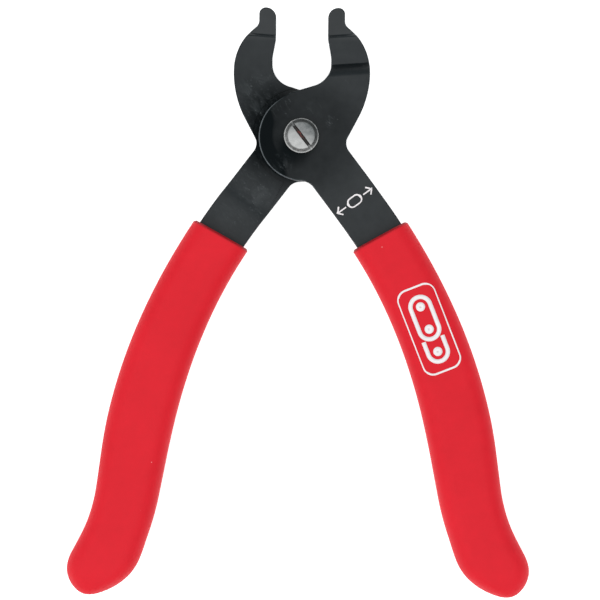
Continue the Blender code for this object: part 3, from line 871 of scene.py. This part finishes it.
def lever(name, side, bottom, jaw_drop, arm_rise, seat=False):
    """One stamped lever: side is 1 for the right-hand one and -1 for its mirror image."""
    outline = without_repeats([Vector((p.x * side, p.y)) for p in lever_outline()][::side])
    plate = stamped_blank(name, outline, bottom)
    low, high = bottom - CUTTER_MARGIN, bottom + PLATE + CUTTER_MARGIN
    circle = without_repeats(arc(Vector((0.0, 0.0)), BORE_RADIUS, 0.0, 360.0))
    combine(plate, prism('bore_cutter', circle, low, high))
    if seat:
        floor = bottom + PLATE - SEAT_DEPTH
        circle = without_repeats(arc(Vector((0.0, 0.0)), SEAT_RADIUS, 0.0, 360.0))
        combine(plate, prism('seat_cutter', circle, floor, high))
        foot = beside_handle(SEAT_WEDGE_REACH, -ARM_WIDTH / 2)
        corners = [Vector((0.0, 0.0)), along(-SEAT_WEDGE_ANGLE) * SEAT_RADIUS,
                   Vector((-foot.x, foot.y)), Vector((0.0, foot.y))]
        combine(plate, prism('seat_wedge_cutter', corners, floor, high))
    mark_edges(plate, outline, bottom)
    press(plate, side, bottom, jaw_drop, arm_rise)
    even_normals(plate)
    return plate


def make_levers():
    scuffs = ((-13.0, 12.5, 10.0, 0.75), (-16.0, 5.0, 7.0, 0.5), (-15.5, -12.0, 11.0, 0.5),
              (-12.0, -22.0, 9.0, 0.4), (-20.0, -26.0, 12.0, 0.2))
    rear = lever('rear_plate', -1, REAR_BOTTOM, 0.0, LEVEL_STEP / 2, seat=True)
    # painted shade round a wide spot left of the pivot; no painted arc highlight and no joggle shade
    finish = black_steel('black_steel_rear', scuffs, (-15.5, 4.0, 23.0), 0.0, 0.0)
    put_on(rear, 'rear_half', 'rear_lever', finish)
    smudges = ((9.8, 4.4, 2.8, 1.3), (-5.9, -8.6, 4.2, 0.9), (-6.0, 9.5, 5.0, 0.6), (4.0, 9.0, 5.0, 0.2),
               (18.0, 20.0, 8.0, 0.15))
    front = lever('front_plate', 1, FRONT_BOTTOM, LEVEL_STEP, -LEVEL_STEP / 2)
    # painted shade round a spot near the pivot, a painted highlight on the boss's left edge and shade on
    # the joggle step
    finish = black_steel('black_steel_front', smudges, (-2.0, -4.0, 7.5), 0.8, 1.0)
    put_on(front, 'front_half', 'front_lever', finish)


# ---------------------------------------------------------------- sleeves

def grip_half_width(distance):
    """Half the sleeve's width along the handle line: a palm swell, a neck and a wider foot."""
    marks = ((GRIP_MOUTH, MOUTH_WALL), (HANDLE_LENGTH - PALM_BACK, PALM_WALL),
             (HANDLE_LENGTH - NECK_BACK, NECK_WALL), (HANDLE_LENGTH - FOOT_BACK, FOOT_WALL))
    wall = FOOT_WALL
    for (start, near), (end, far) in zip(marks, marks[1:]):
        if start <= distance <= end:
            wall = near + (far - near) * eased(ramp(distance, start, end - start))
    return ARM_WIDTH / 2 + wall - SKIN_CLEARANCE


def rounded_section(half_width, half_height, radius):
    """Points round a rectangle with rounded corners, as (across, up) pairs."""
    points = []
    for quarter in range(4):
        sign_x = (1, -1, -1, 1)[quarter]
        sign_y = (1, 1, -1, -1)[quarter]
        for i in range(GRIP_CORNER_STEPS + 1):
            turn = math.radians(90 * (quarter + i / GRIP_CORNER_STEPS))
            points.append((sign_x * (half_width - radius) + radius * math.cos(turn),
                           sign_y * (half_height - radius) + radius * math.sin(turn)))
    return points


def sleeve(name, side):
    """Sleeve along the handle line, closed and rounded at its foot, with a pocket for the tang."""
    body_end = HANDLE_LENGTH - GRIP_END_ROUND

    def ring(distance, half_width, half_height, radius, end_skew=0.0):
        at_mouth = 1 - ramp(distance, GRIP_MOUTH, GRIP_MOUTH_FADE)
        at_end = eased(ramp(distance, body_end - GRIP_END_FADE, GRIP_END_FADE))
        skew = math.tan(math.radians(GRIP_MOUTH_SKEW)) * at_mouth
        skew += math.tan(math.radians(end_skew)) * at_end
        points = []
        for across, up in rounded_section(half_width, half_height, radius):
            spot = beside_handle(distance + across * skew, across)
            points.append((side * spot.x, spot.y, MIDDLE + up))
        return points

    chamfer = GRIP_MOUTH_CHAMFER
    skin = []
    for share in (0.0, 0.12, 0.5, 0.88):
        cut_back = chamfer * (1 - share)
        distance = GRIP_MOUTH + chamfer * share
        skin.append(ring(distance, grip_half_width(distance) - cut_back,
                         GRIP_HALF_HEIGHT - cut_back, GRIP_CORNER - cut_back))
    for i in range(GRIP_STATIONS + 1):
        distance = GRIP_MOUTH + chamfer + (body_end - GRIP_MOUTH - chamfer) * i / GRIP_STATIONS
        skin.append(ring(distance, grip_half_width(distance), GRIP_HALF_HEIGHT, GRIP_CORNER,
                         GRIP_END_SKEW))
    for i in range(1, GRIP_END_STEPS):
        turn = math.radians(88.5 * i / (GRIP_END_STEPS - 1))
        shrink = math.cos(turn)
        distance = body_end + (GRIP_END_ROUND - SKIN_CLEARANCE) * math.sin(turn)
        half_width = grip_half_width(distance) * shrink ** GRIP_END_TAPER
        height = GRIP_HALF_HEIGHT * shrink ** GRIP_END_THINNING
        corner = min(GRIP_CORNER, 0.98 * half_width, 0.98 * height)
        skin.append(ring(distance, half_width, height, corner, GRIP_END_SKEW))

    pocket = []
    pocket_end = TANG_END + TANG_GAP
    for i in range(GRIP_STATIONS // 2 + 1):
        share = i / (GRIP_STATIONS // 2)
        distance = GRIP_MOUTH + (pocket_end - GRIP_MOUTH) * share
        width = ARM_WIDTH + (TANG_END_WIDTH - ARM_WIDTH) * share
        pocket.append(ring(distance, width / 2 + TANG_GAP, PLATE / 2 + TANG_GAP, TANG_GAP))
    grip = stacked(name, skin[::-1] + pocket, SLEEVE_SMOOTH_ANGLE)
    even_normals(grip, SLEEVE_SMOOTH_ANGLE)
    return grip


def make_sleeves():
    material = red_sleeve()
    put_on(sleeve('rear_sleeve', -1), 'rear_half', 'rear_grip', material)
    put_on(sleeve('front_sleeve', 1), 'front_half', 'front_grip', material)


# ---------------------------------------------------------------- screw, rings and nut

def screw():
    """Slotted head with a lip and a bevel, a plain shoulder and the core of the thread."""
    rim = HEAD_BOTTOM + HEAD_RIM_HEIGHT
    core = THREAD_RADIUS - THREAD_DEPTH
    profile = [(AXIS_RADIUS, 0.0), (core - SCREW_BREAK, 0.0), (core, 1.5 * SCREW_BREAK),
               (core, REAR_BOTTOM - 0.5), (THREAD_RADIUS, REAR_BOTTOM - SCREW_BREAK),
               (THREAD_RADIUS, REAR_BOTTOM), (SHOULDER_SCREW_RADIUS - SCREW_BREAK, REAR_BOTTOM),
               (SHOULDER_SCREW_RADIUS, REAR_BOTTOM + SCREW_BREAK), (SHOULDER_SCREW_RADIUS, HEAD_BOTTOM)]
    size = HEAD_FOOT_ROUND
    profile += round_corner(HEAD_RADIUS - size, HEAD_BOTTOM + size, size, -90)
    size = HEAD_RIM_ROUND
    profile += round_corner(HEAD_RADIUS - size, rim - size, size, 0)
    lip_end = HEAD_RADIUS - HEAD_LIP
    profile += [(lip_end + 0.08, rim + 0.02), (lip_end, rim + 0.04), (lip_end - 0.12, rim + 0.10)]
    bevel_top = HEAD_FLAT_RADIUS + 0.12
    dome_foot = HEAD_TOP - HEAD_DOME
    profile += [(bevel_top + 0.12, dome_foot - 0.16), (bevel_top, dome_foot - 0.06),
                (bevel_top - 0.16, dome_foot)]
    for i in range(1, 9):
        share = 1 - i / 8
        profile.append((max(AXIS_RADIUS, (bevel_top - 0.16) * share), HEAD_TOP - HEAD_DOME * share ** 2))
    body = turned('slotted_screw', profile)

    run = Vector((math.cos(math.radians(SLOT_HEADING)), math.sin(math.radians(SLOT_HEADING))))
    square = Vector((-run.y, run.x))
    reach = run * (HEAD_RADIUS + CUTTER_MARGIN)
    half = SLOT_WIDTH / 2
    floor = HEAD_TOP - SLOT_DEPTH
    section = [(half + 0.5, HEAD_TOP + 0.42), (half, HEAD_TOP - 0.08), (half, floor + 0.15),
               (half - 0.15, floor)]
    section += [(-across, height) for across, height in section[::-1]]
    rings = [[(*(end + square * across), height) for across, height in section]
             for end in (-reach, reach)]
    combine(body, stacked('slot_cutter', rings))
    even_normals(body)
    return body


class Recipe(NodeTree):
    """A Geometry Nodes tree with named inputs, whose result is realized and given a material."""

    def __init__(self, name, **inputs):
        super().__init__(bpy.data.node_groups.new(name, 'GeometryNodeTree'))
        for label, kind in inputs.items():
            self.tree.interface.new_socket(label, in_out='INPUT', socket_type=f'NodeSocket{kind}')
        self.tree.interface.new_socket('Material', in_out='INPUT', socket_type='NodeSocketMaterial')
        self.tree.interface.new_socket('Result', in_out='OUTPUT', socket_type='NodeSocketGeometry')
        sources = self.tree.nodes.new('NodeGroupInput').outputs
        self.given = {socket.name: Field(self, socket) for socket in sources if socket.name}

    def finish(self, shape):
        """Realize a shape, set its material and make it the tree's result."""
        whole = self.add('GeometryNodeRealizeInstances', None, {0: shape})
        painted = self.add('GeometryNodeSetMaterial', None,
                           {'Geometry': whole, 'Material': self.given['Material']})
        self.add('NodeGroupOutput', None, {0: painted})

    def bake(self, obj, **values):
        """Run the tree on an object with the given inputs, and leave the result as a plain mesh."""
        modifier = obj.modifiers.new(self.tree.name, 'NODES')
        modifier.node_group = self.tree
        for item in self.tree.interface.items_tree:
            if item.name in values:
                modifier[item.identifier] = values[item.name]
        return settle(obj)


def thread_recipe():
    """A screw thread: a three-sided ridge that follows a helix."""
    recipe = Recipe('thread_ridge', Turns='Float', Radius='Float', Rise='Float', Ridge='Float', Steps='Int')
    given = recipe.given
    helix = recipe.add('GeometryNodeCurveSpiral', None, {
        'Resolution': given['Steps'], 'Rotations': given['Turns'], 'Start Radius': given['Radius'],
        'End Radius': given['Radius'], 'Height': given['Rise']})
    upright = recipe.add('GeometryNodeSetCurveNormal', {'mode': 'Z_UP'}, {'Curve': helix})
    ridge = recipe.add('GeometryNodeCurvePrimitiveCircle', None, {
        'Resolution': 3, 'Radius': given['Ridge']})
    recipe.finish(recipe.add('GeometryNodeCurveToMesh', None, {
        'Curve': upright, 'Profile Curve': ridge, 'Fill Caps': True}))
    return recipe


def line_recipe():
    """Printed lines: a flat strip that follows every line of a curve."""
    recipe = Recipe('printed_line', Lines='Geometry', Width='Float', Thickness='Float')
    given = recipe.given
    upright = recipe.add('GeometryNodeSetCurveNormal', {'mode': 'Z_UP'}, {'Curve': given['Lines']})
    strip = recipe.add('GeometryNodeCurvePrimitiveQuadrilateral', None, {
        'Width': given['Width'], 'Height': given['Thickness']})
    recipe.finish(recipe.add('GeometryNodeCurveToMesh', None, {
        'Curve': upright, 'Profile Curve': strip, 'Fill Caps': True}))
    return recipe


def make_hardware():
    head = head_finish()
    put_on(screw(), 'rear_half', 'pivot_screw', head)

    hardware = plated_steel('plated_steel_hardware', 0.22)
    core = THREAD_RADIUS - THREAD_DEPTH
    turns = (REAR_BOTTOM - 2.2 * THREAD_DEPTH) / THREAD_PITCH
    helix = bpy.data.objects.new('screw_thread', bpy.data.meshes.new('screw_thread'))
    bpy.context.scene.collection.objects.link(helix)
    helix = thread_recipe().bake(
        helix, Turns=turns, Radius=(core + THREAD_SINK) * MM, Rise=turns * THREAD_PITCH * MM,
        Ridge=THREAD_RIDGE * MM, Steps=THREAD_STEPS, Material=hardware)
    helix.data.transform(Matrix.Translation((0.0, 0.0, THREAD_DEPTH * MM)))
    put_on(helix, 'rear_half', None, hardware)

    put_on(ring('back_ring', 'back_washer', THREAD_RADIUS + BORE_GAP), 'rear_half', 'back_washer',
           hardware)
    put_on(ring('turning_ring', 'thrust_washer', BORE_RADIUS), 'rear_half', 'thrust_washer',
           bronze())
    put_on(hex_nut(), 'rear_half', 'lock_nut', hardware)


def ring(name, node, inner):
    """Flat ring in the place of a CAD washer, its four edges lightly rounded."""
    low, high = box_of(node)
    size = min(WASHER_ROUND, (high.z - low.z) / 4)
    corners = ((inner + size, low.z + size, 180), (high.x - size, low.z + size, 270),
               (high.x - size, high.z - size, 0), (inner + size, high.z - size, 90))
    profile = [point for across, height, start in corners
               for point in round_corner(across, height, size, start)]
    obj = turned(name, profile, closed=True)
    even_normals(obj)
    return obj


def hex_nut():
    """Thin hexagon nut, its corners turned off on both faces and its bore countersunk."""
    low, high = box_of('lock_nut')
    bore = THREAD_RADIUS + BORE_GAP
    corner = high.x
    sink = 0.25
    past = 0.2                 # the blank is turned wider than the corners that the flats leave
    drop = (NUT_CHAMFER + past) / 2
    nut = turned('hex_nut', [
        (bore + sink, low.z), (corner - NUT_CHAMFER, low.z), (corner + past, low.z + drop),
        (corner + past, high.z - drop), (corner - NUT_CHAMFER, high.z), (bore + sink, high.z),
        (bore, high.z - sink), (bore, low.z + sink)], closed=True)
    flats = [Vector((math.cos(math.radians(60 * i)), math.sin(math.radians(60 * i)))) * corner
             for i in range(6)]
    keeper = prism('nut_flats', flats, low.z - CUTTER_MARGIN, high.z + CUTTER_MARGIN)
    combine(nut, keeper, 'INTERSECT')
    even_normals(nut)
    return nut


# ---------------------------------------------------------------- printed marks

ARM_MARK_PLACE = Vector((16.7, -20.0))
ARM_MARK_TURN = 36.5
ARM_MARK_LENGTH = 13.0
ARM_MARK_HALF = 1.4
ARM_MARK_LINE = 0.72
PANEL_PLACE = Vector((40.0, -59.8))
PANEL_TURN = -68.3         # of its long axis, from +X
PANEL_LENGTH = 27.5
PANEL_WIDTH = 11.8
PANEL_CORNER = 3.1
PANEL_LINE = 0.62
LINK_LINE = 1.35
LINK_PITCH = 7.4
LINK_HALF = 3.1
SIGN_GAP = 0.1             # keeps the second link's lines off the first one's round end
PIN_RADIUS = 0.75
INK = 0.05                 # thickness of a printed strip, of which less than half stands proud
INK_PROUD = 0.015


def pill(centre_x, half_length, half_width, corner=None):
    """Closed outline with round corners, or round ends, its long axis along X."""
    corner = corner or half_width
    points = []
    for quarter, (way_x, way_y) in enumerate(((1, -1), (1, 1), (-1, 1), (-1, -1))):
        centre = Vector((centre_x + way_x * (half_length - corner), way_y * (half_width - corner)))
        points += arc(centre, corner, 90.0 * quarter - 90.0, 90.0 * quarter)
    return points


def dense(line, closed, step=0.5):
    """A line with points added, so that none are further apart than a step."""
    points = []
    ends = zip(line, line[1:] + line[:1]) if closed else zip(line, line[1:])
    for start, end in ends:
        count = max(1, math.ceil((end - start).length / step))
        points += [start.lerp(end, i / count) for i in range(count)]
    return points if closed else points + [line[-1]]


def printed(name, recipe, lines, place, turn, surface, width, material):
    """Lines of ink, laid on a surface: lines are (points, closed) in the mark's own plane."""
    curve = bpy.data.curves.new(name, 'CURVE')
    curve.dimensions = '3D'
    for points, closed in lines:
        spline = curve.splines.new('POLY')
        spots = []
        for point in dense(without_repeats(points), closed):
            turned_point = Matrix.Rotation(math.radians(turn), 2) @ point
            spot = place + turned_point
            spots.append((spot.x, spot.y, surface(spot) + INK_PROUD - INK / 2))
        spline.points.add(len(spots) - 1)
        for vertex, spot in zip(spline.points, spots):
            vertex.co = (*(Vector(spot) * MM), 1.0)
        spline.use_cyclic_u = closed
    obj = bpy.data.objects.new(name, curve)
    bpy.context.scene.collection.objects.link(obj)
    return recipe.bake(obj, Width=width * MM, Thickness=INK * MM, Material=material)


def arm_surface(spot):
    """Height of the front arm's upper face at a point."""
    return FRONT_BOTTOM + PLATE + arm_lift(spot, 1, -LEVEL_STEP / 2)


def sleeve_surface(spot):
    """Height of the front sleeve's upper skin at a point."""
    distance = -spot.y
    for _ in range(12):
        point, heading = handle_at(distance)
        distance += (spot - point).dot(along(heading))
    point, heading = handle_at(distance)
    across = abs((spot - point).dot(outward(heading)))
    past_flat = across - (grip_half_width(distance) - GRIP_CORNER)
    if past_flat <= 0:
        return MIDDLE + GRIP_HALF_HEIGHT
    rounding = math.sqrt(GRIP_CORNER ** 2 - past_flat ** 2)
    return MIDDLE + GRIP_HALF_HEIGHT - GRIP_CORNER + rounding


def arm_sign():
    """Two arrows that point away from a chain link, as (line, closed) pairs."""
    lines = [(pill(0.0, 2.3, ARM_MARK_HALF), True)]
    for side in (-1, 1):
        tip = side * ARM_MARK_LENGTH / 2
        lines.append(([Vector((side * 3.3, 0.0)), Vector((tip, 0.0))], False))
        head = [Vector((tip - side * 1.3, height)) for height in (ARM_MARK_HALF, -ARM_MARK_HALF)]
        lines.append(([head[0], Vector((tip, 0.0)), head[1]], False))
    return lines


def chain_sign():
    """Two joined links over three pins, as (line, closed) pairs."""
    lines = [(arc(Vector((x, 0.0)), PIN_RADIUS, 0.0, 360.0), True) for x in (-LINK_PITCH, 0.0, LINK_PITCH)]
    lines.append((pill(-LINK_PITCH / 2, LINK_PITCH / 2 + LINK_HALF, LINK_HALF), True))
    lines.append((arc(Vector((LINK_PITCH, 0.0)), LINK_HALF, -90.0, 90.0), False))
    for edge in (-LINK_HALF, LINK_HALF):
        lines.append(([Vector((LINK_HALF + SIGN_GAP, edge)), Vector((LINK_PITCH, edge))], False))
    return lines


def make_marks():
    recipe = line_recipe()
    ink = white_print('white_ink')
    border = [(pill(0.0, PANEL_LENGTH / 2, PANEL_WIDTH / 2, PANEL_CORNER), True)]
    marks = (
        ('arm_sign', arm_sign(), ARM_MARK_PLACE, ARM_MARK_TURN, arm_surface, ARM_MARK_LINE),
        ('sleeve_sign_border', border, PANEL_PLACE, PANEL_TURN, sleeve_surface, PANEL_LINE),
        ('sleeve_sign_links', chain_sign(), PANEL_PLACE, PANEL_TURN, sleeve_surface, LINK_LINE),
    )
    for name, lines, place, turn, surface, width in marks:
        mark = printed(name, recipe, lines, place, turn, surface, width, ink)
        put_on(mark, 'front_half', None, ink)


# ---------------------------------------------------------------- table, light and camera

VIEW_CENTRE = Vector((0.0, -51.1))
VIEW_WIDTH = 188.0
VIEW_HEIGHT = 600.0        # of the camera, above the table
VIEW_LEVEL = 6.0           # height at which the view is as wide as VIEW_WIDTH
VIEW_ROLL = 0.45
WORLD_LIGHT = 0.5
SENSOR = 36.0
SOFT_LIGHTS = (            # name, place, what it is aimed at, size and power
    ('overhead', (0.0, -330.0, 1480.0), (VIEW_CENTRE.x, VIEW_CENTRE.y, 0.0), 2500.0, 25.2),
    ('left', (-720.0, -350.0, 560.0), (0.0, -20.0, 0.0), 400.0, 1.2),
)


def make_table():
    half = 3000.0
    corners = [(-half, -half), (half, -half), (half, half), (-half, half)]
    mesh = bmesh.new()
    mesh.faces.new([mesh.verts.new((x * MM, y * MM, 0.0)) for x, y in corners])
    table = mesh_object('table', mesh)
    table.data.materials.append(pale_floor())


def soft_light(name, place, aim, size, power):
    """Square soft box, in millimetres, pointed at a place."""
    light = bpy.data.lights.new(name, 'AREA')
    light.shape = 'SQUARE'
    light.size = size * MM
    light.energy = power
    obj = bpy.data.objects.new(name, light)
    obj.location = Vector(place) * MM
    obj.rotation_mode = 'QUATERNION'
    obj.rotation_quaternion = (Vector(aim) - Vector(place)).to_track_quat('-Z', 'Y')
    bpy.context.scene.collection.objects.link(obj)
    return obj


def make_light():
    world = bpy.data.worlds.new('studio')
    world.use_nodes = True
    background = world.node_tree.nodes['Background']
    background.inputs['Color'].default_value = (0.97, 0.985, 1.0, 1.0)
    background.inputs['Strength'].default_value = WORLD_LIGHT
    bpy.context.scene.world = world
    for name, place, aim, size, power in SOFT_LIGHTS:
        soft_light(name, place, aim, size, power)


def make_camera():
    camera = bpy.data.cameras.new('camera')
    camera.sensor_width = SENSOR
    camera.lens = SENSOR * (VIEW_HEIGHT - VIEW_LEVEL) / VIEW_WIDTH
    camera.clip_start = 0.01
    obj = bpy.data.objects.new('camera', camera)
    obj.location = Vector((VIEW_CENTRE.x, VIEW_CENTRE.y, VIEW_HEIGHT)) * MM
    obj.rotation_euler = (0.0, 0.0, math.radians(VIEW_ROLL))
    bpy.context.scene.collection.objects.link(obj)
    bpy.context.scene.camera = obj
    bpy.context.scene.view_settings.view_transform = 'Standard'


make_camera()
make_levers()
make_sleeves()
make_hardware()
make_marks()
make_table()
make_light()
